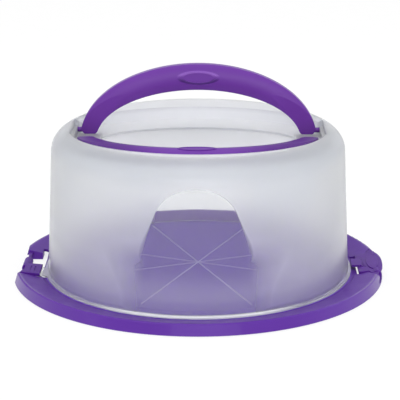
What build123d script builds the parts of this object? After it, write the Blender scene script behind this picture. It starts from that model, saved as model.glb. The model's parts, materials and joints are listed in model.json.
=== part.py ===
from build123d import *
import math
import os

# Cake carrier: a round tray base, a frosted dome lid that hinges on the left rim and is held by a
# latch on the right rim, and two bail handles that fold flat into the dome's top.
# Millimetres. The origin is the centre of the plane that the feet stand on: +Z is up, +X points
# to the latch, -X to the hinge, and -Y to the front.

# ---- dome ----
wall_foot_radius = 146.5     # outside of the dome's wall at its foot
wall_draft = 2.7             # degrees
dome_top = 146.5
shell = 2.2
lip_width = 3.1              # the lip stands out this far from the foot of the wall
lip_thickness = 2.2
lip_gap = 0.3                # the lip hangs this far above the channel floor
shoulder_round = 22.0

# ---- base tray ----
channel_play = 2.9           # between the lip and the inside of the rim
rim_width = 27.5
skirt_spread = 3.0           # the skirt's lower edge stands out this far from the rim's top
rim_height = 11.5            # of the rim's outer edge
rim_low = 6.0                # the rim's top slopes down to here beside the lid's lip
rim_inner_lean = 0.7
rim_bevel = 0.5              # along the inner top edge of the rim
skirt_lift = 0.8             # the skirt's lower edge stays this far above the table
base_wall = 2.4
channel_height = 4.6         # floor of the channel that the lid's lip sits in
floor_height = 9.5           # the plate that carries the cake
floor_margin = 8.5           # from the dome's wall in to the plate
floor_step = 2.5             # run of the slope from plate to channel
guide_margin = 8.0           # the slice guide lines end this far inside the plate
guide_width = 0.9
guide_depth = 0.5
guide_count = 8
rib_width = 2.0
rib_depth = 4.4
rib_cover = 0.8              # ribs and walls end this far below the tray's top face
ring_rib_radii = (46.0, 92.0)
floor_rib_count = 8
hub_radius = 20.0
rim_rib_count = 24
rim_rib_keepout = 28.0       # degrees each side of the hinge and the latch with no ribs
edge_round = 1.5
small_round = 0.6

# ---- foot pads ----
pad_count = 6
pad_radius = 6.5
pad_first_angle = 30.0
pad_play = 0.2
cup_wall = 1.2
cup_depth = 1.3

# ---- handles ----
handle_inset = 31.3          # from the foot of the dome's wall in to the outside of a leg
pivot_y = 24.0               # pivot axes lie this far behind and in front of the middle
handle_rise = 65.2           # from the pivot axis to the top of the arch
arch_drop = 9.4              # the arch's ellipse is centred this far below the pivot axis
grip_width = 25.3
leg_width = 15.7
crown_offset = 6.4           # from the pivot axis to the crest of the crowned face
crown_radius = 24.0
crown_edge_round = 0.9
front_facing = 0.6           # a face whose normal leans forward more than this is in front
leg_face_offset = 3.8        # the crown is flattened down to here at the end of the leg
leg_face_rise = 36.0         # and left whole from this far above the axis
back_offset = 4.5            # from the pivot axis to the open back
heel_drop = 4.4              # the leg ends this far below the pivot axis
heel_clearance = 0.3         # under a folded handle
leg_end_round = 6.2
grip_skin = 2.4
grip_flange = 2.2
grip_pocket_start = 9.0      # the legs stay solid up to here above the axis
grip_rib_width = 1.6
grip_rib_step = 15.0         # degrees
grip_rib_count = 9
pin_radius = 2.4
pin_reach = 1.8              # of a handle pin beyond the inside of its ear
badge_half_length = 18.0
badge_half_height = 5.8
badge_rim = 1.4
badge_proud = 0.5
badge_field = 0.1
badge_root = 3.0

# ---- recess in the dome's top ----
recess_depth = 14.1
recess_play = 2.5            # around a folded handle
recess_flare_x = 0.9         # from the recess floor up to the lip of the recess
recess_flare_y = 5.7
dish_depth = 3.0             # from the dome's top down to the lip of the recess
dish_spread_x = 5.0          # the shallow dish round the recess spreads this much more
dish_spread_y = 22.0
recess_overshoot = 1.1       # height of the cutting form above the dome
well_depth = 2.0
well_margin_x = 3.3
well_margin_y = 10.2

# ---- pivot blocks ----
ear_play = 2.6               # between leg and ear
ear_thickness = 3.0
ear_back_play = 0.3
ear_margin = 5.0             # of ear beyond a pivot axis
ear_height = 8.4
ear_round = 4.0
block_margin = 5.6           # from a pivot axis back to the end of the block
block_reach = 22.0           # inwards from the outside of the leg
block_height = 1.8
running_play = 0.05

# ---- hinge, on the left ----
hinge_inset = 12.4           # from the skirt's lower edge in to the hinge axis
hinge_z = 6.5
bar_radius = 2.0
bar_hold = 8.0               # length of bar held at each end
bar_end_play = 0.6
boss_half_width = 5.0
knuckle_radius = 4.3
rear_knuckle_start = -14.0
rear_knuckle_end = 10.0
front_knuckle_length = 10.0
clip_front = -38.0
clip_rear = -9.5
clip_lip_play = 2.0          # from the lid's lip out to the clip
clip_thickness = 2.5
clip_front_overhang = 3.8    # of the clip's outer edge beyond the hinge axis
clip_rear_overhang = 2.6
clip_step = 9.9              # width of the clip's solid foot
clip_groove = 0.6
clip_low = 9.6               # height of the clip's leaning top at its inner end
notch_front_play = 1.3
notch_rear = 32.0
notch_lip_play = 1.2         # from the lid's lip out to the notch
slot_width = 5.7
slot_length = 12.0
rim_end_setback = 6.4        # the rim behind the notch is cut straight here
rim_end_length = 14.0
tab_reach = 10.4             # of the lid's tab beyond its lip
tab_margin = 2.0
tab_play = 0.6
peg_radius = 2.0
peg_play = 0.1
peg_inset = 8.0

# ---- latch, on the right ----
latch_inset = 7.7            # from the skirt's lower edge in to the latch axis
latch_z = 6.7
barrel_radius = 5.0
barrel_inner = 19.0
barrel_outer = 31.0
latch_pin_radius = 1.75
latch_pin_hold = 5.0         # length of pin held beyond the barrel
latch_pin_inset = 1.0        # the pin's inner end lies this far inside the barrel
latch_pin_end_play = 0.3
stub_radius = 2.6            # tubular stubs of the tray that hold the pin's ends
stub_gap = 0.4
lever_lip_play = 5.6         # from the lid's lip out to the lever
lever_half_width = 26.5
lever_flare_start = 7.8      # the lever widens from here, inside the pin, outwards
lever_flare_end = 3.7        # to here, outside the pin
lever_flare = 21.1
lever_thickness = 2.9
lever_wing_thickness = 1.2
lever_low = 8.8              # height of the lever's leaning top at its inner end
lever_play = 0.7
lip_reach = 7.7              # of the finger lip outwards from the pin
lip_half_length = 30.0
thumb_pad_setback = 2.1
thumb_pad_reach = 5.7
thumb_pad_half_length = 22.0
thumb_pad_rise = 0.7           # height of the oval pad above the lever
nose_gap = 0.4
nose_half_width = 10.0
nose_low = 8.2
nose_high = 10.2
ridge_step = 2.6
ridge_width = 0.9
ridge_height = 0.5
ridge_count = 3
ridge_half_length = 13.0
skirt_band_height = 2.0      # the skirt runs on below the finger lip up to here

# ---- worked out ----
half_turn = 180.0
lip_radius = wall_foot_radius + lip_width
lip_low = channel_height + lip_gap
lip_high = lip_low + lip_thickness
draft_run = math.tan(math.radians(wall_draft))
wall_top_radius = wall_foot_radius - (dome_top - lip_high) * draft_run

rim_inner_radius = lip_radius + channel_play
base_radius = rim_inner_radius + rim_width
rim_edge_radius = base_radius - skirt_spread
floor_radius = wall_foot_radius - floor_margin
guide_radius = floor_radius - guide_margin
pad_circle = (floor_radius + floor_step + rim_inner_radius) / 2

recess_floor = dome_top - recess_depth
recess_lip = dome_top - dish_depth
pivot_z = recess_floor + heel_clearance + back_offset
handle_half_width = wall_foot_radius - handle_inset
arch_z = pivot_z - arch_drop
arch_rise = handle_rise + arch_drop
inner_half_width = handle_half_width - leg_width
inner_rise = arch_rise - grip_width
folded_arch_y = pivot_y - arch_drop
ear_inner_x = handle_half_width + ear_play
ear_outer_x = ear_inner_x + ear_thickness
ear_half_length = pivot_y + ear_margin

hinge_x = hinge_inset - base_radius
clip_inner_x = -lip_radius - clip_lip_play
clip_outer_x = hinge_x - clip_front_overhang
clip_step_x = clip_inner_x - clip_step
notch_front = clip_front - notch_front_play
notch_inner_x = -lip_radius - notch_lip_play
slot_outer_x = notch_inner_x - slot_width
slot_rear = notch_rear + slot_length
rim_end_x = rim_end_setback + skirt_spread - base_radius
tab_outer_x = -lip_radius - tab_reach

latch_x = base_radius - latch_inset
latch_pin_start = barrel_inner + latch_pin_inset
latch_pin_end = barrel_outer + latch_pin_hold
lever_inner_x = lip_radius + lever_lip_play
lever_flare_x = latch_x - lever_flare_start
lever_flare_end_x = latch_x + lever_flare_end
lever_wing = lever_half_width + lever_flare
thumb_pad_x = latch_x - thumb_pad_setback
nose_tip_x = lip_radius + nose_gap


# ---- small helpers ----
def block(x0, x1, y0, y1, z0, z1):
    return Pos((x0 + x1) / 2, (y0 + y1) / 2, (z0 + z1) / 2) * Box(x1 - x0, y1 - y0, z1 - z0)


def rod_y(x, z, radius, y0, y1):
    return Pos(x, (y0 + y1) / 2, z) * Rot(90, 0, 0) * Cylinder(radius, y1 - y0)


def rod_x(y, z, radius, x0, x1):
    return Pos((x0 + x1) / 2, y, z) * Rot(0, 90, 0) * Cylinder(radius, x1 - x0)


def turned(points, rounds):
    """A solid of revolution about Z from a closed (radius, height) outline."""
    outline = FilletPolyline(*[(r, 0, z) for r, z in points], radius=rounds, close=True)
    return revolve(make_face(outline), Axis.Z, 360)


def prism(points, z0, z1):
    outline = Polyline(*[(x, y, z0) for x, y in points], close=True)
    return extrude(make_face(outline), z1 - z0, dir=(0, 0, 1))


def both_sides(shape):
    return shape + mirror(shape, Plane.YZ)


# ---- base tray ----
def rim_envelope():
    """Everything inside the tray's outer skin, down to the skirt's lower edge."""
    points = [
        (0, skirt_lift),
        (base_radius, skirt_lift),
        (rim_edge_radius, rim_height),
        (rim_inner_radius + rim_inner_lean + rim_bevel, rim_low),
        (rim_inner_radius + rim_inner_lean, rim_low - rim_bevel),
        (rim_inner_radius, channel_height),
        (floor_radius + floor_step, channel_height),
        (floor_radius, floor_height),
        (0, floor_height),
    ]
    rounds = [0, 0, edge_round, 0, 0, small_round, small_round, small_round, 0]
    return turned(points, rounds)


def tray_skin():
    skirt_lean = (base_radius - rim_edge_radius) / (rim_height - skirt_lift)
    under_rim = rim_height - base_wall
    under_channel = channel_height - base_wall
    hollow = [
        (rim_inner_radius + rim_inner_lean + base_wall, rim_low - base_wall),
        (rim_edge_radius - base_wall, under_rim),
        (base_radius - base_wall + skirt_lean, -skirt_lift),
        (rim_inner_radius + base_wall, -skirt_lift),
    ]
    below = [
        (0, -skirt_lift),
        (rim_inner_radius + base_wall + rim_inner_lean, -skirt_lift),
        (rim_inner_radius + base_wall + rim_inner_lean, under_channel),
        (floor_radius + floor_step - base_wall / 2, under_channel),
        (floor_radius - base_wall / 2, floor_height - base_wall),
        (0, floor_height - base_wall),
    ]
    return rim_envelope() - turned(hollow, [0] * 4) - turned(below, [0] * 6)


def radial_ribs(count, inner, outer, low, high, keep=lambda angle: True):
    ribs = []
    for index in range(count):
        angle = index * 360.0 / count
        if keep(angle):
            rib = block(inner, outer, -rib_width / 2, rib_width / 2, low, high)
            ribs.append(Rot(0, 0, angle) * rib)
    return ribs


def clear_of_stations(angle):
    from_x_axis = min(angle % 180.0, 180.0 - angle % 180.0)
    return from_x_axis > rim_rib_keepout


def tray_ribs():
    under_floor = floor_height - base_wall / 2
    low = under_floor - rib_depth
    ribs = radial_ribs(floor_rib_count, hub_radius, floor_radius, low, under_floor)
    ribs += radial_ribs(
        rim_rib_count, rim_inner_radius + base_wall / 2, base_radius,
        channel_height - base_wall, rim_height - base_wall / 2, clear_of_stations,
    )
    for radius in (hub_radius,) + ring_rib_radii:
        ring = Cylinder(radius + rib_width / 2, under_floor - low) - Cylinder(
            radius - rib_width / 2, under_floor - low)
        ribs.append(Pos(0, 0, (under_floor + low) / 2) * ring)
    return ribs


def pad_places():
    return [
        Rot(0, 0, pad_first_angle + index * 360.0 / pad_count) * Pos(pad_circle, 0, 0)
        for index in range(pad_count)
    ]


def pad_cups():
    under_channel = channel_height - base_wall
    inner = pad_radius + pad_play
    ring = Cylinder(inner + cup_wall, cup_depth) - Cylinder(inner, cup_depth)
    middle = under_channel - cup_depth / 2 + base_wall / 4
    return [place * Pos(0, 0, middle) * ring for place in pad_places()]


def latch_outline(play):
    """Plan of the lever grown by a clearance: straight at the nose, flared at the rim's edge."""
    return [
        (lever_inner_x - play, -lever_half_width - play),
        (lever_flare_x, -lever_half_width - play),
        (lever_flare_end_x, -lever_wing - play),
        (base_radius + lip_reach, -lever_wing - play),
        (base_radius + lip_reach, lever_wing + play),
        (lever_flare_end_x, lever_wing + play),
        (lever_flare_x, lever_half_width + play),
        (lever_inner_x - play, lever_half_width + play),
    ]


def upright_disc(radius, low, high):
    return Pos(0, 0, (low + high) / 2) * Cylinder(radius, high - low)


def latch_pocket():
    low = -skirt_lift
    high = rim_height + barrel_radius
    within_skirt = upright_disc(base_radius - base_wall, low, skirt_band_height)
    lower = prism(latch_outline(lever_play), low, skirt_band_height) & within_skirt
    upper = prism(latch_outline(lever_play), skirt_band_height, high)
    over_channel = block(
        lip_radius, lever_inner_x,
        -lever_half_width - lever_play, lever_half_width + lever_play, channel_height, high)
    return lower + upper + over_channel


def pin_stubs():
    start = barrel_outer + stub_gap
    end = lever_wing + lever_play + base_wall
    return [
        rod_y(latch_x, latch_z, stub_radius, y0, y1) for y0, y1 in ((-end, -start), (start, end))
    ]


def hinge_notch():
    low = -skirt_lift
    high = rim_height + edge_round
    notch = block(-base_radius - edge_round, notch_inner_x, notch_front, notch_rear, low, high)
    slot_middle = (slot_outer_x + notch_inner_x) / 2
    slot_radius = (notch_inner_x - slot_outer_x) / 2
    slot = block(slot_outer_x, notch_inner_x, 0, slot_rear - slot_radius, low, high)
    slot_end = Pos(slot_middle, slot_rear - slot_radius, (low + high) / 2) * Cylinder(
        slot_radius, high - low)
    rim_end = block(
        -base_radius - edge_round, rim_end_x, notch_rear, notch_rear + rim_end_length, low, high)
    tab_front, tab_rear = tab_ends(tab_play)
    tab_gap = block(
        tab_outer_x, -wall_foot_radius + lip_thickness, tab_front, tab_rear, channel_height, high)
    return notch + slot + slot_end + rim_end + tab_gap


def tab_ends(play):
    return clip_front + tab_margin - play, clip_rear - tab_margin + play


def station_walls():
    """Walls round the two pockets in the rim, and the bosses that hold the hinge bar."""
    walls = [prism(latch_outline(lever_play + base_wall), skirt_lift, rim_height)]
    boss_inner = hinge_x + boss_half_width
    front_boss = notch_front - bar_hold - base_wall
    rear_boss = notch_rear + rim_end_length + base_wall
    walls.append(block(-base_radius, boss_inner, front_boss, notch_front, skirt_lift, rim_height))
    walls.append(block(-base_radius, boss_inner, notch_rear, rear_boss, skirt_lift, rim_height))
    walls.append(block(
        hinge_x, slot_outer_x, notch_front - base_wall, notch_front, skirt_lift, rim_height))
    walls.append(block(
        hinge_x, slot_outer_x, notch_rear, notch_rear + base_wall, skirt_lift, rim_height))
    walls.append(block(
        slot_outer_x - base_wall, slot_outer_x, notch_rear, slot_rear + base_wall,
        skirt_lift, rim_height))
    return walls


def slice_guides():
    cuts = []
    for index in range(guide_count // 2):
        line = block(
            -guide_radius, guide_radius, -guide_width / 2, guide_width / 2,
            floor_height - guide_depth, floor_height + guide_depth)
        cuts.append(Rot(0, 0, (index + 0.5) * 360.0 / guide_count) * line)
    return cuts


def base_tray():
    envelope = rim_envelope()
    within_skin = Pos(0, 0, -rib_cover) * envelope
    solid = tray_skin()
    for rib in tray_ribs() + station_walls():
        solid += rib & within_skin
    for cup in pad_cups():
        solid += cup
    solid -= hinge_notch()
    solid -= latch_pocket()
    for stub in pin_stubs():
        solid += stub & envelope
    for cut in slice_guides():
        solid -= cut
    bar_hole = rod_y(
        hinge_x, hinge_z, bar_radius + running_play, notch_front - bar_hold, notch_rear + bar_hold)
    pin_end = latch_pin_end + latch_pin_end_play
    pin_hole = rod_y(latch_x, latch_z, latch_pin_radius + running_play, -pin_end, pin_end)
    return solid - bar_hole - pin_hole


def foot_pads():
    height = channel_height - base_wall
    pad = Pos(0, 0, height / 2) * Cylinder(pad_radius, height)
    pad = fillet(pad.edges().group_by(Axis.Z)[0], small_round)
    return [place * pad for place in pad_places()]


# ---- hinge ----
def hinge_bar():
    return rod_y(
        hinge_x, hinge_z, bar_radius, notch_front - bar_hold + bar_end_play,
        notch_rear + bar_hold - bar_end_play)


def peg_places():
    return [
        (tab_outer_x + peg_inset / 2, clip_front + peg_inset),
        (tab_outer_x + peg_inset / 2, clip_rear - peg_inset),
    ]


def leaned(shape, x, degrees):
    """Leans a flat top about a line along Y that is level with the rim's outer edge."""
    return Pos(x, 0, rim_height) * Rot(0, degrees, 0) * Pos(-x, 0, -rim_height) * shape


def clip_lean():
    """Degrees that the clip's top leans inwards."""
    return math.degrees(math.atan((rim_height - clip_low) / (clip_inner_x - clip_outer_x)))


def clip_top_plate():
    """Top of the clip, with two finger grooves and an outer edge curved in at its middle."""
    front_x = clip_outer_x
    rear_x = hinge_x - clip_rear_overhang
    waist = ThreePointArc(
        (rear_x, clip_rear), (hinge_x, (clip_front + clip_rear) / 2), (front_x, clip_front))
    rest = Polyline(
        (front_x, clip_front), (clip_inner_x, clip_front), (clip_inner_x, clip_rear),
        (rear_x, clip_rear))
    plate = extrude(make_face([waist, rest]), clip_thickness, dir=(0, 0, 1))
    plate = Pos(0, 0, rim_height - clip_thickness) * plate
    plate = fillet(plate.edges().group_by(Axis.Z)[-1], small_round)
    plate_middle = (hinge_x + clip_inner_x) / 2
    for x in (plate_middle - peg_inset / 4, plate_middle + peg_inset / 4):
        plate -= block(
            x - clip_groove, x + clip_groove, clip_front + peg_inset, clip_rear - peg_inset,
            rim_height - clip_groove, rim_height + clip_groove)
    return leaned(plate, clip_outer_x, clip_lean())


def hinge_clip():
    """The piece fixed on the lid's tab whose two knuckles turn on the bar."""
    over_tab = block(
        clip_outer_x - edge_round, clip_inner_x, clip_front, clip_rear, lip_high,
        rim_height + edge_round)
    foot = block(
        clip_step_x, clip_inner_x - small_round, clip_front + small_round,
        clip_rear - small_round, lip_high, clip_low - small_round)
    clip = (clip_top_plate() & over_tab) + foot
    for start, end in (
        (clip_front, clip_front + front_knuckle_length),
        (rear_knuckle_start, rear_knuckle_end),
    ):
        knuckle = rod_y(hinge_x, hinge_z, knuckle_radius, start, end)
        clip += fillet(knuckle.edges().filter_by(GeomType.CIRCLE), small_round)
    for x, y in peg_places():
        clip += Pos(x, y, (lip_low + lip_high) / 2) * Cylinder(peg_radius, lip_thickness)
    bore = rod_y(
        hinge_x, hinge_z, bar_radius + running_play, clip_front - edge_round,
        rear_knuckle_end + edge_round)
    return clip - bore


# ---- latch ----
def plan_ellipse(x, reach, half_length, low, high):
    return Pos(x, 0, low) * extrude(Ellipse(reach, half_length), high - low)


def lever_ridges():
    ridges = []
    low = rim_height - ridge_height
    high = rim_height + ridge_height
    for index in range(ridge_count):
        grow = (index + 1) * ridge_step
        reach = thumb_pad_reach + grow
        half_length = thumb_pad_half_length + grow
        ring = plan_ellipse(
            thumb_pad_x, reach + ridge_width, half_length + ridge_width, low, high)
        ring -= plan_ellipse(thumb_pad_x, reach, half_length, low, high)
        keep = block(
            lever_inner_x, thumb_pad_x, -ridge_half_length, ridge_half_length, low, high)
        ridges.append(ring & keep)
    return ridges


def lever_lean():
    """Degrees that the lever's top leans inwards."""
    return math.degrees(math.atan((rim_height - lever_low) / (rim_edge_radius - lever_inner_x)))


def latch_lever():
    low = rim_height - lever_thickness
    plate = prism(latch_outline(0), low, rim_height) & upright_disc(rim_edge_radius, low, rim_height)
    plate = fillet(plate.edges().filter_by(Axis.Z).group_by(Axis.X)[0], edge_round)
    plate = fillet(plate.edges().group_by(Axis.Z)[-1], small_round)
    lip = plan_ellipse(latch_x, lip_reach, lip_half_length, low, rim_height)
    lip = fillet(lip.edges().group_by(Axis.Z)[-1], small_round)
    pad = plan_ellipse(
        thumb_pad_x, thumb_pad_reach, thumb_pad_half_length, low, rim_height + thumb_pad_rise)
    top = plate + lip + fillet(pad.edges().group_by(Axis.Z)[-1], thumb_pad_rise / 2)
    for ridge in lever_ridges():
        top += ridge
    wing_low = rim_height - lever_wing_thickness
    for side in (-1, 1):
        y0, y1 = sorted((side * barrel_outer, side * base_radius))
        top -= block(lever_inner_x, base_radius + lip_reach, y0, y1, low - edge_round, wing_low)
    lever = leaned(top, rim_edge_radius, -lever_lean())
    for side in (-1, 1):
        y0, y1 = sorted((side * barrel_inner, side * barrel_outer))
        barrel = rod_y(latch_x, latch_z, barrel_radius, y0, y1)
        lever += fillet(barrel.edges().filter_by(GeomType.CIRCLE), small_round)
    lever += block(
        nose_tip_x, lever_inner_x + 2 * base_wall, -nose_half_width, nose_half_width,
        nose_low, nose_high)
    lever += block(
        lever_inner_x + base_wall, lever_inner_x + 2 * base_wall,
        -lever_half_width + base_wall, lever_half_width - base_wall,
        latch_z - base_wall, latch_z + edge_round)
    bore = rod_y(
        latch_x, latch_z, latch_pin_radius + running_play, -lever_wing, lever_wing)
    return lever - bore


def latch_pins():
    return [
        rod_y(latch_x, latch_z, latch_pin_radius, y0, y1)
        for y0, y1 in ((-latch_pin_end, -latch_pin_start), (latch_pin_start, latch_pin_end))
    ]


# ---- dome ----
def dome_outside():
    points = [
        (0, lip_low),
        (lip_radius, lip_low),
        (lip_radius, lip_high),
        (wall_foot_radius, lip_high),
        (wall_top_radius, dome_top),
        (0, dome_top),
    ]
    return turned(points, [0, small_round, small_round, small_round, shoulder_round, 0])


def dome_inside():
    foot = wall_foot_radius - shell
    low = lip_low - edge_round
    top_radius = wall_top_radius - shell + shell * draft_run
    points = [
        (0, low),
        (foot + (lip_high - low) * draft_run, low),
        (top_radius, dome_top - shell),
        (0, dome_top - shell),
    ]
    return turned(points, [0, 0, shoulder_round - shell, 0])


def folded_outline(grow_x, grow_y, z):
    """Plan outline of both folded handles together, grown by a clearance."""
    half_x = handle_half_width + grow_x
    half_y = arch_rise + grow_y
    rear = EllipticalCenterArc((0, folded_arch_y), half_x, half_y, arc_size=half_turn)
    front = EllipticalCenterArc(
        (0, -folded_arch_y), half_x, half_y, half_turn, arc_size=half_turn)
    left = Line((-half_x, folded_arch_y), (-half_x, -folded_arch_y))
    right = Line((half_x, -folded_arch_y), (half_x, folded_arch_y))
    return Pos(0, 0, z) * make_face([rear, left, front, right])


def recess(grow):
    """The sunken area for the folded handles, or the same grown by a wall."""
    low = recess_floor - grow
    high = dome_top + recess_overshoot
    play = recess_play + grow
    lip_x = play + recess_flare_x
    lip_y = play + recess_flare_y
    lip = folded_outline(lip_x, lip_y, recess_lip - grow)
    basin = loft([folded_outline(play, play, low), lip])
    dish = loft([
        lip,
        folded_outline(lip_x + dish_spread_x, lip_y + dish_spread_y, high - grow),
    ])
    ears = block(
        -ear_outer_x - ear_back_play - grow, ear_outer_x + ear_back_play + grow,
        -ear_half_length - ear_back_play - grow, ear_half_length + ear_back_play + grow, low, high)
    well_x = inner_half_width - well_margin_x + grow
    well_y = pivot_y + handle_rise - grip_width - well_margin_y + grow
    well = Pos(0, 0, recess_floor - well_depth - grow) * extrude(
        Ellipse(well_x, well_y), well_depth + grow + edge_round)
    return basin + dish + ears + well


def lid_tab():
    """The tongue of the lip that carries the hinge clip."""
    tab_front, tab_rear = tab_ends(0)
    tab = block(
        tab_outer_x, -wall_foot_radius + lip_thickness, tab_front, tab_rear, lip_low, lip_high)
    for x, y in peg_places():
        tab -= Pos(x, y, (lip_low + lip_high) / 2) * Cylinder(
            peg_radius + peg_play, 2 * lip_thickness)
    return tab


def dome_shell():
    cavity = dome_inside() - recess(shell)
    dome = dome_outside() + lid_tab()
    return dome - recess(0) - cavity


# ---- pivot blocks ----
def pivot_block(side):
    half_length = pivot_y - block_margin
    body = block(
        handle_half_width - block_reach, ear_outer_x, -half_length, half_length,
        recess_floor, recess_floor + block_height)
    ear = block(
        ear_inner_x, ear_outer_x, -ear_half_length, ear_half_length,
        recess_floor, recess_floor + ear_height)
    ear = fillet(ear.edges().filter_by(Axis.X).group_by(Axis.Z)[-1], ear_round)
    body = fillet(body.edges().group_by(Axis.Z)[-1], small_round)
    part = body + ear
    for y in (-pivot_y, pivot_y):
        part -= rod_x(
            y, pivot_z, pin_radius + running_play, ear_inner_x - ear_play,
            ear_outer_x + ear_thickness)
    return part if side > 0 else mirror(part, Plane.YZ)


# ---- handles ----
def arch_face(outer_x, outer_z, inner_x, inner_z, low):
    """Band between two ellipses, in the X-Y plane, cut off at a height above their centre."""
    band = Ellipse(outer_x, outer_z) - Ellipse(inner_x, inner_z)
    keep = Pos(0, low + outer_z / 2) * Rectangle(2 * outer_x, outer_z)
    return band & keep


def crown_edge():
    """Height of the crowned face above the pivot axis at the edges of the grip."""
    half = grip_width / 2
    return crown_offset - crown_radius + math.sqrt(crown_radius ** 2 - half ** 2)


def crown_form():
    """A bar with a crowned face, swept along the middle of the arch and wider than it."""
    half = grip_width / 2 + small_round
    edge = crown_offset - crown_radius + math.sqrt(crown_radius ** 2 - half ** 2)
    low = -back_offset - small_round
    middle_x = (handle_half_width + inner_half_width) / 2
    middle_y = (arch_rise + inner_rise) / 2
    turn = math.degrees(math.asin((heel_drop + small_round) / middle_y))
    path = EllipticalCenterArc(
        (0, 0), middle_x, middle_y, -turn, arc_size=half_turn + 2 * turn)
    face = Plane(origin=path @ 0, x_dir=Vector(0, 0, 1).cross(path % 0), z_dir=path % 0)
    outline = Polyline((-half, edge), (-half, low), (half, low), (half, edge))
    crest = ThreePointArc((half, edge), (0, crown_offset), (-half, edge))
    section = face * make_face([outline, crest])
    return sweep(section, path=path)


def outline_of(faces):
    """The edges round a group of faces, without those between two faces of the group."""
    edges = [edge for face in faces for edge in face.edges()]
    return [edge for edge in edges if sum(edge.is_same(other) for other in edges) == 1]


def leg_flattening():
    """What is taken off the crown towards the end of each leg: in front of a leaning plane."""
    foot = arch_drop - heel_drop
    lean = math.degrees(math.atan(
        (crown_offset - leg_face_offset) / (leg_face_rise + heel_drop)))
    cut = block(
        -handle_half_width, handle_half_width, -heel_drop, 2 * arch_rise, 0, 2 * crown_offset)
    return Pos(0, foot, leg_face_offset) * Rot(lean, 0, 0) * cut


def upright(shape):
    """Stands an X-Y shape up on the arch's centre: its Y becomes height, its Z points forward."""
    return Pos(0, pivot_y, arch_z) * Rot(90, 0, 0) * shape


def grip_pocket():
    skin = extrude(
        Pos(0, 0, -back_offset - small_round) * arch_face(
            handle_half_width - grip_flange, arch_rise - grip_flange,
            inner_half_width + grip_flange, inner_rise + grip_flange,
            arch_drop + grip_pocket_start),
        back_offset + crown_edge() - grip_skin + small_round)
    for index in range(grip_rib_count):
        angle = (index - (grip_rib_count - 1) / 2) * grip_rib_step
        rib = Pos(0, arch_rise / 2, 0) * Box(
            grip_rib_width, arch_rise * 2, 2 * (back_offset + crown_offset))
        skin -= Rot(0, 0, angle) * rib
    return skin


def badge():
    middle = inner_rise + grip_width / 2
    outer = Ellipse(badge_half_length, badge_half_height)
    inner = Ellipse(badge_half_length - badge_rim, badge_half_height - badge_rim)
    start = Pos(0, middle, crown_offset - badge_root)
    ring = start * extrude(outer - inner, badge_root + badge_proud)
    field = start * extrude(inner, badge_root + badge_field)
    return ring + field


def raised_handle():
    band = arch_face(handle_half_width, arch_rise, inner_half_width, inner_rise,
                     arch_drop - heel_drop)
    band = fillet(band.vertices().group_by(Axis.Y)[0], leg_end_round)
    solid = extrude(Pos(0, 0, -back_offset) * band, back_offset + crown_offset + small_round)
    solid = solid & crown_form()
    front = [face for face in solid.faces() if face.normal_at(face.center()).Z > front_facing]
    solid = solid.solids()[0].fillet(crown_edge_round, outline_of(front))
    solid = solid - leg_flattening() - grip_pocket() + badge()
    handle = upright(solid)
    heel = block(
        -handle_half_width, handle_half_width, pivot_y, pivot_y + back_offset + small_round,
        pivot_z - heel_drop - small_round, pivot_z)
    heel -= rod_x(pivot_y, pivot_z, back_offset, -handle_half_width, handle_half_width)
    handle -= heel
    pin = rod_x(
        pivot_y, pivot_z, pin_radius, inner_half_width + leg_width / 2, ear_inner_x + pin_reach)
    return handle + both_sides(pin)


def folded_front_handle():
    handle = mirror(raised_handle(), Plane.XZ)
    axis = Axis((0, -pivot_y, pivot_z), (1, 0, 0))
    return handle.rotate(axis, 90)


# ---- write ----
def solids_of(shape):
    found = shape.solids() if hasattr(shape, "solids") else [shape]
    return found[0] if len(found) == 1 else Compound(children=list(found))


nodes = {
    "base_tray": base_tray,
    "foot_pads": lambda: Compound(children=foot_pads()),
    "hinge_bar": hinge_bar,
    "hinge_clip": hinge_clip,
    "latch_lever": latch_lever,
    "latch_pins": lambda: Compound(children=latch_pins()),
    "dome_shell": dome_shell,
    "pivot_block_left": lambda: pivot_block(-1),
    "pivot_block_right": lambda: pivot_block(1),
    "rear_handle": raised_handle,
    "front_handle": folded_front_handle,
}

os.makedirs("parts", exist_ok=True)
for name, make in nodes.items():
    shape = solids_of(make())
    shape.label = name
    export_step(shape, f"parts/{name}.step")
    print(name, len(shape.solids()), "solid", round(shape.volume / 1000, 1), "cm3")
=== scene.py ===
# %% [markdown]
# # A cake carrier, finished in Blender
#
# The carrier is a flat purple tray, a frosted dome lid that hinges on its left, a small latch on
# its right, and two arched handles that fold into the top of the lid. The solids come ready made
# from the CAD frame, with every rib, pin and pad. This script gives each one its plastic, and sets
# the camera, the stage and the lights.

# %% Load the frame
import json
import math

import bmesh
import bpy
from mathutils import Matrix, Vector

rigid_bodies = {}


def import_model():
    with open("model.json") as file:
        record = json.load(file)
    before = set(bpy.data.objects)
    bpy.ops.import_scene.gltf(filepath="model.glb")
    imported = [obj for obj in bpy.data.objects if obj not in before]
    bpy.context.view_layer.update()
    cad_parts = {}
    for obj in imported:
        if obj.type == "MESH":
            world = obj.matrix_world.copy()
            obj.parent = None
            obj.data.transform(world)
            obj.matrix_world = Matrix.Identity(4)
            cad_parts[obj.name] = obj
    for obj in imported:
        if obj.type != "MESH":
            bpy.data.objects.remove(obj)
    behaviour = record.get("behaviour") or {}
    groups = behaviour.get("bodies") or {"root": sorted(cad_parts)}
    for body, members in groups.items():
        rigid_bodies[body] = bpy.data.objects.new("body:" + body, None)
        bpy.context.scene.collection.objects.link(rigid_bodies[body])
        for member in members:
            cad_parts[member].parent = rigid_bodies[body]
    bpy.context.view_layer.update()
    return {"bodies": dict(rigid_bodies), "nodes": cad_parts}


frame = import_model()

nodes = frame["nodes"]
print("bodies:", ", ".join(frame["bodies"]))

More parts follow.
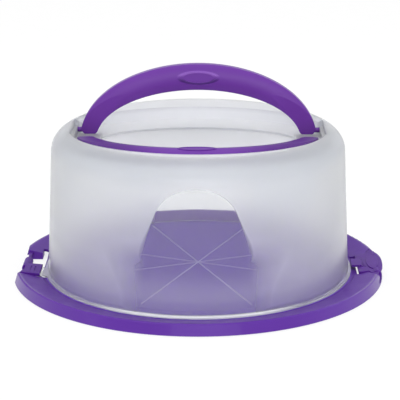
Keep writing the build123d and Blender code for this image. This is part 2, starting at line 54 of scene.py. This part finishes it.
# %% [markdown]
# ## Camera
#
# The carrier is seen from the front and a little above. A long lens far away keeps the round tray
# from stretching. The angle could be set by turning the camera by hand, but aiming it from two
# points, where it stands and what it looks at, is easier to read and to change.

# %% Set the camera
CAMERA_PLACE = Vector((0.0204, -1.4403, 0.4914))
CAMERA_TARGET = Vector((0.0018, 0.0, 0.0727))
LENS = 139.0
SENSOR_WIDTH = 36.0


def aim(thing, place, target):
    """Stands a camera or a lamp at one point and turns it to look at another."""
    thing.location = place
    thing.rotation_euler = (Vector(target) - Vector(place)).to_track_quat("-Z", "Y").to_euler()
    bpy.context.scene.collection.objects.link(thing)


camera_data = bpy.data.cameras.new("carrier_camera")
camera_data.lens = LENS
camera_data.sensor_width = SENSOR_WIDTH
camera = bpy.data.objects.new("carrier_camera", camera_data)
aim(camera, CAMERA_PLACE, CAMERA_TARGET)
bpy.context.scene.camera = camera
print("camera distance:", round((CAMERA_TARGET - CAMERA_PLACE).length, 3), "m")

# %% [markdown]
# ## Wires: shader sums written as sums
#
# A procedural finish is mostly arithmetic on coordinates. It could be built by adding Math nodes
# one at a time, which hides the formula. Here a Wire stands for one socket, and adding or
# multiplying wires adds the Math nodes, so the shader reads like the formula it is.


# %% Define Wire
class Wire:
    """One output socket. Sums on wires add Math nodes to the same finish."""

    def __init__(self, finish, socket):
        self.finish = finish
        self.socket = socket

    def maths(self, operation, *values):
        inputs = dict(enumerate(values))
        return self.finish.node("ShaderNodeMath", {"operation": operation}, inputs)

    def __add__(self, other):
        return self.maths("ADD", self, other)

    def __sub__(self, other):
        return self.maths("SUBTRACT", self, other)

    def __rsub__(self, other):
        return self.maths("SUBTRACT", other, self)

    def __mul__(self, other):
        return self.maths("MULTIPLY", self, other)

    def __truediv__(self, other):
        return self.maths("DIVIDE", self, other)

    __radd__ = __add__
    __rmul__ = __mul__

    def above(self, limit):
        return self.maths("GREATER_THAN", self, limit)

    def below(self, limit):
        return 1.0 - self.above(limit)

    def squared(self):
        return self.maths("MULTIPLY", self, self)

    def root(self):
        return self.maths("SQRT", self)

    def size(self):
        return self.maths("ABSOLUTE", self)

    def at_least(self, limit):
        return self.maths("MAXIMUM", self, limit)

    def at_most(self, limit):
        return self.maths("MINIMUM", self, limit)

    def rise(self, start, end):
        """0 before start and 1 after end, with a soft step between."""
        return self.finish.node(
            "ShaderNodeMapRange", {"interpolation_type": "SMOOTHSTEP"},
            {"Value": self, "From Min": start, "From Max": end, "To Min": 0.0, "To Max": 1.0})

    def fall(self, start, end):
        """1 before start and 0 after end, with a soft step between."""
        return 1.0 - self.rise(start, end)


# %% [markdown]
# A Finish is one material. It has one method that adds any node, and short names for the few nodes
# that need more than numbers. It starts from the point on the piece itself, in metres, so a finish
# stays with its piece when the piece moves.


# %% Define Finish
class Finish:
    """A material in the making, with one method that adds any node."""

    def __init__(self, name):
        self.material = bpy.data.materials.new(name)
        self.material.use_nodes = True
        self.tree = self.material.node_tree
        self.tree.nodes.clear()
        self.place = self.node("ShaderNodeTexCoord", output="Object")

    def join(self, node, inputs):
        """Links wires to a node's inputs and writes plain values on the others."""
        for name, value in inputs.items():
            if isinstance(value, Wire):
                self.tree.links.new(value.socket, node.inputs[name])
            else:
                node.inputs[name].default_value = value

    def node(self, kind, settings=None, inputs=None, output=0):
        node = self.tree.nodes.new(kind)
        for name, value in (settings or {}).items():
            setattr(node, name, value)
        self.join(node, inputs or {})
        return Wire(self, node.outputs[output])

    def parts(self):
        """The x, y and z of the point on the piece."""
        split = self.tree.nodes.new("ShaderNodeSeparateXYZ")
        self.join(split, {0: self.place})
        return [Wire(self, socket) for socket in split.outputs]

    def noise(self, scale, detail=2.0, stretch=None):
        vector = self.place
        if stretch:
            vector = self.node("ShaderNodeMapping", None, {"Vector": vector, "Scale": stretch})
        return self.node(
            "ShaderNodeTexNoise", None, {"Vector": vector, "Scale": scale, "Detail": detail})

    def blend(self, factor, first, second):
        """A colour between two colours."""
        node = self.tree.nodes.new("ShaderNodeMix")
        node.data_type = "RGBA"
        self.join(node, {0: factor, 6: first, 7: second})
        return Wire(self, node.outputs[2])

    def bump(self, height, strength, distance):
        return self.node(
            "ShaderNodeBump", None, {"Height": height, "Strength": strength, "Distance": distance})

    def plastic(self, inputs):
        return self.node("ShaderNodeBsdfPrincipled", None, inputs)

    def mixed(self, share, first, second):
        """Two shaders in one, with this share of the second."""
        return self.node("ShaderNodeMixShader", None, {0: share, 1: first, 2: second})

    def surface(self, shader):
        output = self.tree.nodes.new("ShaderNodeOutputMaterial")
        self.join(output, {"Surface": shader})
        print("finish:", self.material.name, "with", len(self.tree.nodes), "nodes")
        return self.material


def plan_radius(x, y):
    """How far a point is from the upright axis through the carrier's middle."""
    return (x.squared() + y.squared()).root()


def dress(names, material):
    """Puts a finish on one or more CAD nodes."""
    for name in names:
        mesh = nodes[name].data
        mesh.materials.clear()
        mesh.materials.append(material)


# %% [markdown]
# ## Stage and light
#
# A plain pale floor and large soft lights flatter glossy plastic: their reflections are broad and
# quiet. Small bright lamps would put hard spots on the handle. The floor glows a little, as a light
# table does, so it stays pale right up to the tray and leaves no heavy shadow.

# %% Lay the floor
FLOOR_SIZE = 12.0
FLOOR_GLOW = 0.78


def plain_floor():
    sheet = bmesh.new()
    bmesh.ops.create_grid(sheet, x_segments=1, y_segments=1, size=FLOOR_SIZE)
    mesh = bpy.data.meshes.new("floor")
    sheet.to_mesh(mesh)
    sheet.free()
    floor = bpy.data.objects.new("floor", mesh)
    bpy.context.scene.collection.objects.link(floor)
    return floor


floor = plain_floor()
paper = Finish("white_paper")
floor.data.materials.append(paper.surface(paper.plastic({
    "Base Color": paper.blend(paper.noise(40.0), (0.19, 0.19, 0.19, 1), (0.21, 0.21, 0.21, 1)),
    "Roughness": 0.9,
    "Specular IOR Level": 0.0,
    "Emission Color": (1.0, 1.0, 1.0, 1.0),
    "Emission Strength": FLOOR_GLOW,
})))

# %% [markdown]
# A bright sky all round does most of the work. Three wide panels shape the rest: one overhead for
# the top of the handle, one at the left for the dome's edge, and one in front for the tray's skirt.

# %% Light the stage
SKY_STRENGTH = 0.98
DOME_MIDDLE = (0.0, 0.0, 0.08)

bpy.context.scene.view_settings.view_transform = "Standard"
world = bpy.data.worlds.new("soft_sky")
world.use_nodes = True
sky = world.node_tree.nodes["Background"].inputs
sky["Color"].default_value = (1.0, 1.0, 1.0, 1.0)
sky["Strength"].default_value = SKY_STRENGTH
bpy.context.scene.world = world


def soft_panel(name, place, size, power):
    data = bpy.data.lights.new(name, "AREA")
    data.shape = "RECTANGLE"
    data.size, data.size_y = size
    data.energy = power
    aim(bpy.data.objects.new(name, data), place, DOME_MIDDLE)
    print("panel", name, power, "W")


soft_panel("top_panel", (0.1, -0.5, 1.9), (1.6, 1.6), 13.0)
soft_panel("left_panel", (-1.6, -0.6, 0.8), (0.8, 1.4), 2.0)
soft_panel("front_panel", (0.2, -2.2, 0.5), (1.6, 0.9), 11.0)

# %% [markdown]
# ## Purple plastic
#
# The tray, latch, hinge clip and handles are moulded polypropylene. Its colour drifts a little
# where the melt flowed, the surface has a very fine grain, and handling leaves it shinier in
# places. A flat purple would look like paper, so slow noise moves the colour, fine noise makes the
# grain, and stretched noise draws the faint scratches.

# %% Mix the purples
FLOW_EDGE = (0.3, 0.7)
SMUDGE_ROUGHNESS = 0.16
SCRATCH_ROUGHNESS = 0.12
SCRATCH_STRETCH = (30.0, 900.0, 300.0)
SCRATCH_EDGE = (0.62, 0.75)
SCRATCH_SHARE = 0.5
GRAIN_SHARE = 0.7
BUMP_STRENGTH = 0.25
BUMP_DEPTH = 0.0001


def moulded_purple(name, deep, light, shine, gloss, colour_of=None, coat_of=None):
    """Satin moulded plastic. Shine is the middle of its roughness, gloss its specular level."""
    finish = Finish(name)
    flow = finish.noise(9.0, 3.0)
    smudge = finish.noise(38.0, 4.0)
    grain = finish.noise(1500.0)
    scratch = finish.noise(1.0, 1.0, SCRATCH_STRETCH).rise(*SCRATCH_EDGE)
    height = grain * GRAIN_SHARE - scratch * SCRATCH_SHARE
    colour = finish.blend(flow.rise(*FLOW_EDGE), deep, light)
    if colour_of:
        colour = colour_of(finish, colour)
    return finish.surface(finish.plastic({
        "Base Color": colour,
        "Roughness": shine + (smudge - 0.5) * SMUDGE_ROUGHNESS + scratch * SCRATCH_ROUGHNESS,
        "Specular IOR Level": gloss,
        "Coat Weight": coat_of(finish) if coat_of else 0.0,
        "Normal": finish.bump(height, BUMP_STRENGTH, BUMP_DEPTH),
    }))


# %% [markdown]
# ## Tray
#
# The plate that carries the cake is textured more finely than the rim and painted a lighter purple.
# This is painted light, for the light that reaches the plate through the dome. The eight guide
# lines that show where to cut are lighter still: a painted highlight along each rib.
# They could be painted by hand, but a line through the middle is simply where the distance to a
# plane is small, so four planes give all eight.

# %% Lighten the plate and its guide lines
PLATE_RADIUS = 0.150
PLATE_FOOT = 0.004
# The plate's two purples are lighter than the rim's: painted light for the light that reaches the
# plate through the dome.
PLATE_PAINTED_LIGHT_COLOURS = (0.160, 0.063, 0.520, 1), (0.184, 0.077, 0.570, 1)
GUIDE_TOP = 0.008
GUIDE_END = 0.132
GUIDE_END_SOFTNESS = 0.004
GUIDE_HALF_WIDTH = 0.0010
GUIDE_CORE = 0.6
GUIDE_PLANES = 4
# The guide colour is a painted highlight along each rib.
GUIDE_HIGHLIGHT_COLOUR = (0.58, 0.50, 0.88, 1)


def plate_light_and_guide_highlights(finish, colour):
    x, y, z = finish.parts()
    radius = plan_radius(x, y)
    nearest = 1.0
    for index in range(GUIDE_PLANES):
        angle = math.radians((index + 0.5) * 180.0 / GUIDE_PLANES)
        distance = (x * math.sin(angle) - y * math.cos(angle)).size()
        nearest = distance.at_most(nearest)
    # Painted highlight along the guide ribs.
    on_line = nearest.fall(GUIDE_HALF_WIDTH * GUIDE_CORE, GUIDE_HALF_WIDTH)
    line = on_line * radius.fall(GUIDE_END - GUIDE_END_SOFTNESS, GUIDE_END) * z.above(GUIDE_TOP)
    # Painted light: the plate under the dome gets a lighter purple.
    on_plate = radius.below(PLATE_RADIUS) * z.above(PLATE_FOOT)
    plate = finish.blend(finish.noise(900.0, 3.0), *PLATE_PAINTED_LIGHT_COLOURS)
    return finish.blend(line, finish.blend(on_plate, colour, plate), GUIDE_HIGHLIGHT_COLOUR)


print("guide lines:", 2 * GUIDE_PLANES, "of", round(2000 * GUIDE_HALF_WIDTH, 1), "mm")

# %% [markdown]
# The skirt is the tray's steep outer band. The mould leaves it smoother than the top, and hands
# polish it most at the two sides. A second glossy material would leave a seam, so a clear coat
# grows softly from the front towards the sides instead.

# %% Polish the skirt and dress the tray
TRAY_COLOURS = (0.084, 0.018, 0.262, 1), (0.096, 0.024, 0.288, 1)
SMALL_COLOURS = (0.074, 0.014, 0.228, 1), (0.084, 0.018, 0.248, 1)
SKIRT_RADIUS = 0.1745
SKIRT_SOFTNESS = 0.001
SKIRT_SIDES = (0.060, 0.165)
FRONT_POLISH = 0.12
SIDE_POLISH = 0.45


def skirt_coat(finish):
    x, y, z = finish.parts()
    polish = FRONT_POLISH + x.size().rise(*SKIRT_SIDES) * SIDE_POLISH
    outside = plan_radius(x, y).rise(SKIRT_RADIUS - SKIRT_SOFTNESS, SKIRT_RADIUS + SKIRT_SOFTNESS)
    return outside * polish


dress(["base_tray"], moulded_purple(
    "tray_purple", *TRAY_COLOURS, shine=0.42, gloss=0.14,
    colour_of=plate_light_and_guide_highlights, coat_of=skirt_coat))
dress(["hinge_bar", "hinge_clip", "latch_lever", "latch_pins"], moulded_purple(
    "small_purple", *SMALL_COLOURS, shine=0.42, gloss=0.10))

# %% [markdown]
# ## Handles
#
# The upright handle has a bare oval field at its crown, with a rounded rim. The rim is in the solid
# already, but it is very fine, so its light and shade are painted on: a painted highlight along its
# upper edge and painted shade along its lower edge. Both follow the equation of the oval. The
# handle that lies folded is deeper in colour towards its ends, where the lid's edge shades it.

# %% Colour the handles
BADGE_HEIGHT = 0.18975
BADGE_HALF_LENGTH = 0.0176
BADGE_HALF_HEIGHT = 0.0058
RIM_INNER_EDGE = (0.60, 0.80)
RIM_OUTER_EDGE = (1.20, 1.50)
UPPER_EDGE = (0.0, 0.5)
LOWER_EDGE = (-0.5, 0.0)
# The rim's lighter purple is a painted highlight, and its darker one is painted shade.
RIM_HIGHLIGHT_SHARE = 0.8
SHADED_SHARE = 0.9
RIM_HIGHLIGHT_PURPLE = (0.240, 0.095, 0.450, 1)
SHADED_PURPLE = (0.050, 0.010, 0.140, 1)
FOLDED_ENDS = (0.020, 0.085)
FOLDED_COLOURS = (0.135, 0.036, 0.305, 1), (0.078, 0.016, 0.190, 1)
HANDLE_COLOURS = (0.116, 0.026, 0.268, 1), (0.130, 0.033, 0.292, 1)


def badge_colour(finish, colour):
    x, y, z = finish.parts()
    up = (z - BADGE_HEIGHT) / BADGE_HALF_HEIGHT
    oval = (x / BADGE_HALF_LENGTH).squared() + up.squared()
    rim = oval.rise(*RIM_INNER_EDGE) * oval.fall(*RIM_OUTER_EDGE)
    # Painted highlight on the rim's upper edge, then painted shade on its lower edge.
    rim_with_highlight = finish.blend(rim * up.rise(*UPPER_EDGE) * RIM_HIGHLIGHT_SHARE, colour, RIM_HIGHLIGHT_PURPLE)
    return finish.blend(rim * up.fall(*LOWER_EDGE) * SHADED_SHARE, rim_with_highlight, SHADED_PURPLE)


def folded_colour(finish, colour):
    x, y, z = finish.parts()
    return finish.blend(x.size().rise(*FOLDED_ENDS), *FOLDED_COLOURS)


dress(["front_handle"], moulded_purple(
    "folded_purple", *HANDLE_COLOURS, shine=0.42, gloss=0.14, colour_of=folded_colour))
dress(["rear_handle"], moulded_purple(
    "badge_purple", *HANDLE_COLOURS, shine=0.36, gloss=0.24, colour_of=badge_colour))

# %% [markdown]
# ## Frosted dome
#
# The lid is thin milky plastic with a frosted face: things close behind it stay clear, and things
# further away blur. A see-through alpha would keep everything sharp, so the shell really bends
# light, with a rough surface. The front has a polished egg-shaped window, where the roughness and
# the milkiness drop away. Its edge is crisp at the crown and softer lower down.

# %% Shape the window
WALL_REACH = 0.05
WINDOW_LOW = 0.060
WINDOW_SHOULDER = 0.098
WINDOW_CROWN = 0.025
WINDOW_WIDE = 0.052
WINDOW_TAPER = 0.015
CROWN_ROUNDNESS = 0.6
WINDOW_EDGE = (0.96, 1.03)
EDGE_SOFTNESS = 0.20
EDGE_SOFT_UP_TO = (0.050, 0.095)
WINDOW_FOOT = (0.022, 0.050)


def on_front_wall(y):
    return (0.0 - y).above(WALL_REACH)


def on_rear_wall(y):
    return y.above(WALL_REACH)


def window_mask(finish, x, y, z):
    """1 inside the egg-shaped window in the front wall and 0 outside it."""
    half_width = finish.node("ShaderNodeMapRange", None, {
        "Value": z, "From Min": WINDOW_LOW, "From Max": WINDOW_SHOULDER,
        "To Min": WINDOW_WIDE, "To Max": WINDOW_WIDE - WINDOW_TAPER})
    up = ((z - WINDOW_SHOULDER) / WINDOW_CROWN).at_least(0.0)
    egg = (x / half_width).squared() + up * (up * CROWN_ROUNDNESS + (1.0 - CROWN_ROUNDNESS))
    soft = z.fall(*EDGE_SOFT_UP_TO) * EDGE_SOFTNESS
    start, end = WINDOW_EDGE
    return egg.fall(start - soft, end + soft) * z.rise(*WINDOW_FOOT) * on_front_wall(y)


print("window crown:", round(1000 * (WINDOW_SHOULDER + WINDOW_CROWN)), "mm above the floor")

# %% [markdown]
# The wall isn't frosted evenly. It thins towards the foot, most of all below the window, and the
# foot of the rear wall is clear where the window looks out through it. Each mask says how clear a
# point is, and the clearest one wins, so no two of them add up to a bright seam.

# %% Thin the frosting towards the foot
REAR_HALF_WIDTH = (0.046, 0.070)
REAR_TOP = (0.038, 0.056)
REAR_CLEARNESS = 0.9
FOOT_TOP = (0.016, 0.062)
FOOT_CLEARNESS = 0.45
LIP_ZONE = (0.0075, 0.0120)
LIP_CLEARNESS = 0.35
BELOW_WINDOW_TOP = (0.048, 0.076)
BELOW_WINDOW_HALF_WIDTH = (0.046, 0.088)
BELOW_WINDOW_CLEARNESS = 0.95


def rear_clearness(x, y, z):
    low = z.fall(*REAR_TOP) * on_rear_wall(y)
    return x.size().fall(*REAR_HALF_WIDTH) * low * REAR_CLEARNESS


def foot_clearness(x, y, z):
    all_round = z.fall(*FOOT_TOP) * FOOT_CLEARNESS + z.fall(*LIP_ZONE) * LIP_CLEARNESS
    middle = z.fall(*BELOW_WINDOW_TOP) * x.size().fall(*BELOW_WINDOW_HALF_WIDTH)
    return all_round.at_least(middle * BELOW_WINDOW_CLEARNESS * on_front_wall(y))


print("frosting thins below:", round(1000 * FOOT_TOP[1]), "mm")

# %% [markdown]
# Where light crosses more plastic, more of it is scattered back, and the lid looks whiter. That is
# so in the sunken top, and at the two pockets for the handles' pins, where two walls stand close
# together. Along the lip the white is a painted highlight, brightest in front. The rounded shoulder
# is painted greyer, and greyest at the back: painted shade.

# %% Mark the milky places
# The lip's white share is a painted highlight.
LIP_TOP = 0.0073
LIP_FRONT = (0.050, 0.110)
LIP_SIDE_LOSS = 0.95
LIP_REAR_GAP = (0.050, 0.080)
LIP_HIGHLIGHT_SHARE = 0.9
TOP_LOW = (0.120, 0.129)
TOP_RADIUS = (0.116, 0.124)
TOP_MIDDLE_RADIUS = (0.050, 0.085)
TOP_MILK = 0.50
CLEAR_MILK = 0.04
WALL_MILK = 0.05
FOOT_MILK = 0.05
FOOT_MILK_TOP = (0.020, 0.070)
EAR_START = (0.092, 0.100)
EAR_END = (0.112, 0.120)
EAR_HALF_DEPTH = (0.036, 0.044)
EAR_LOW = (0.122, 0.130)
EAR_WHITENESS = 0.75
SHOULDER_RADIUS = (0.118, 0.130)
SHOULDER_LOW = (0.118, 0.136)
REAR_SHOULDER_START = (0.030, 0.080)
REAR_SHOULDER_LOW = (0.1385, 0.1435)


def milkiness(radius, z, window):
    """Share of plain white scatter: a trace in the wall and much more in the sunken top."""
    wall = CLEAR_MILK + (1.0 - window) * WALL_MILK
    foot = (1.0 - window) * z.fall(*FOOT_MILK_TOP) * FOOT_MILK
    return wall + foot + z.rise(*TOP_LOW) * radius.fall(*TOP_RADIUS) * TOP_MILK


def lip_highlight(x, y, z):
    """A painted highlight along the lip, brightest in front, and none at the back where the window
    looks out over it.
    """
    sides = 1.0 - x.size().rise(*LIP_FRONT) * LIP_SIDE_LOSS
    behind = on_rear_wall(y) * x.size().fall(*LIP_REAR_GAP)
    return z.below(LIP_TOP) * sides * (1.0 - behind) * LIP_HIGHLIGHT_SHARE


def ear_whiteness(x, y, z):
    """Two walls stand close together at the pockets for the pins, and look whiter."""
    along = x.size().rise(*EAR_START) * x.size().fall(*EAR_END)
    return along * y.size().fall(*EAR_HALF_DEPTH) * z.rise(*EAR_LOW) * EAR_WHITENESS


print("white in the sunken top:", round(100 * (CLEAR_MILK + WALL_MILK + TOP_MILK)), "percent")

# %% [markdown]
# Three plastics share the shell: the frosted one, the clear one of the window and the foot, and a
# white one that scatters. One rough glass with a varying roughness would be simpler, but it could
# never look white. Mixing by the masks keeps each place its own colour.

# %% Mix the frosted plastic
CLOUD_EDGE = (0.35, 0.65)
WALL_COLOURS = (0.91, 0.935, 0.955, 1), (0.96, 0.975, 0.98, 1)
# The two shoulder greys are painted shade.
SHOULDER_SHADE_GREY = (0.80, 0.825, 0.86, 1)
REAR_SHOULDER_SHADE_GREY = (0.64, 0.655, 0.69, 1)
TOP_COLOURS = (0.94, 0.950, 0.97, 1), (0.82, 0.835, 0.86, 1)

frost = Finish("frosted_plastic")
x, y, z = frost.parts()
radius = plan_radius(x, y)
window = window_mask(frost, x, y, z)
clearness = window.at_least(rear_clearness(x, y, z)).at_least(foot_clearness(x, y, z))
cloud = frost.noise(14.0, 3.0)
speckle = frost.noise(700.0, 2.0)
milk = frost.blend(cloud.rise(*CLOUD_EDGE), *WALL_COLOURS)
# Painted shade: the shoulder is coloured greyer, and greyest at the back.
shoulder = radius.rise(*SHOULDER_RADIUS) * z.rise(*SHOULDER_LOW)
milk_with_shoulder_shade = frost.blend(shoulder, milk, SHOULDER_SHADE_GREY)
rear_shoulder = y.rise(*REAR_SHOULDER_START) * z.rise(*REAR_SHOULDER_LOW)
frosted_shell = frost.plastic({
    "Base Color": frost.blend(rear_shoulder, milk_with_shoulder_shade, REAR_SHOULDER_SHADE_GREY),
    "Roughness": 0.32 + (speckle - 0.5) * 0.06,
    "IOR": 1.42,
    "Transmission Weight": 0.86,
    "Normal": frost.bump(speckle, 0.15, 0.0002),
})
clear_shell = frost.plastic({
    "Base Color": (0.96, 0.97, 0.975, 1),
    "Roughness": 0.03,
    "IOR": 1.35,
    "Transmission Weight": 1.0,
})
top_middle = radius.fall(*TOP_MIDDLE_RADIUS) * z.rise(*TOP_LOW)
white_scatter = frost.plastic({
    "Base Color": frost.blend(top_middle, *TOP_COLOURS),
    "Roughness": 0.35,
    "IOR": 1.42,
    "Transmission Weight": 0.25,
})
# The lip's share here is a painted highlight.
milky_share = milkiness(radius, z, window).at_least(lip_highlight(x, y, z))
milky_share = milky_share.at_least(ear_whiteness(x, y, z))
see_through = frost.mixed(clearness, frosted_shell, clear_shell)
dress(["dome_shell"], frost.surface(frost.mixed(milky_share, see_through, white_scatter)))

# %% [markdown]
# ## Clear blocks and foot pads
#
# The two blocks that carry the handles are the same milky plastic, thicker and so whiter. The six
# pads under the tray are soft grey rubber, which is matt and picks up dust.

# %% Mix the small finishes
block_milk = Finish("milky_block")
swirl = block_milk.noise(60.0, 3.0)
dress(["pivot_block_left", "pivot_block_right"], block_milk.surface(block_milk.plastic({
    "Base Color": block_milk.blend(swirl, (0.90, 0.92, 0.94, 1), (0.95, 0.96, 0.97, 1)),
    "Roughness": 0.25 + swirl * 0.12,
    "IOR": 1.45,
    "Transmission Weight": 0.7,
})))

rubber = Finish("pad_rubber")
dust = rubber.noise(300.0, 4.0)
dress(["foot_pads"], rubber.surface(rubber.plastic({
    "Base Color": rubber.blend(dust, (0.46, 0.46, 0.48, 1), (0.60, 0.60, 0.61, 1)),
    "Roughness": 0.75 + dust * 0.15,
    "Normal": rubber.bump(dust, 0.3, 0.0002),
})))
